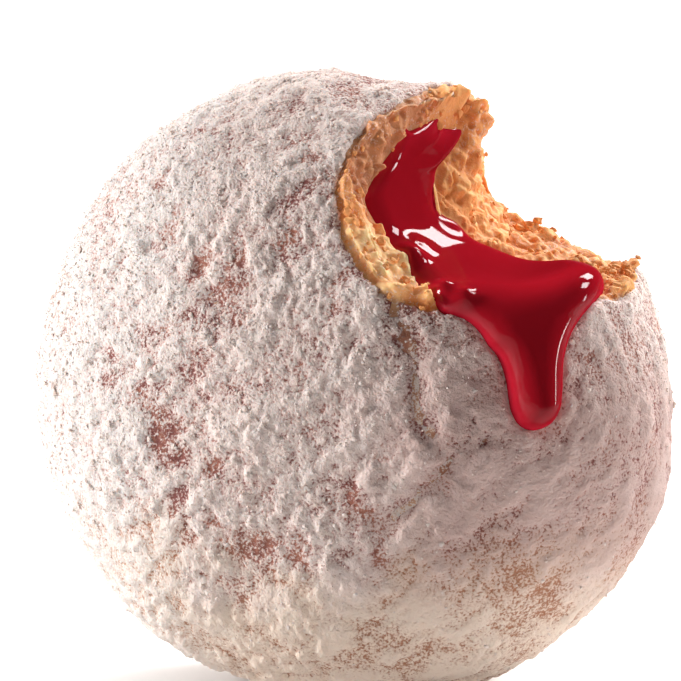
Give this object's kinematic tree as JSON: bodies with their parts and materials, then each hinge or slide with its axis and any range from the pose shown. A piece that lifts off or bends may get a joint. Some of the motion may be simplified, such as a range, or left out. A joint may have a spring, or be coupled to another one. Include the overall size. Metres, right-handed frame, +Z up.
{
  "type": "jelly filled doughnut",
  "caption": "Thick round filled doughnut dusted with powdered sugar, standing on its rim, with one bite out of it and red jelly running from the bite in one drip.",
  "frame": {"origin": "middle of the bounding box in plan, at the height of the flat spot it stands on", "axes": "+Z up from the floor; the broad face looks toward -Y, turned 18 degrees to -X and leaning back 12 degrees; the bite is at the upper right, toward +X and +Z"},
  "size_m": [0.0876, 0.0702, 0.0854],
  "materials": {
    "sugared_dough": "fried crust under caked powdered sugar, golden crumb in the bite",
    "jelly": "glossy wet red jelly"
  },
  "bodies": {
    "root": {"dough": "sugared_dough", "jelly": "jelly"}
  },
  "joints": []
}
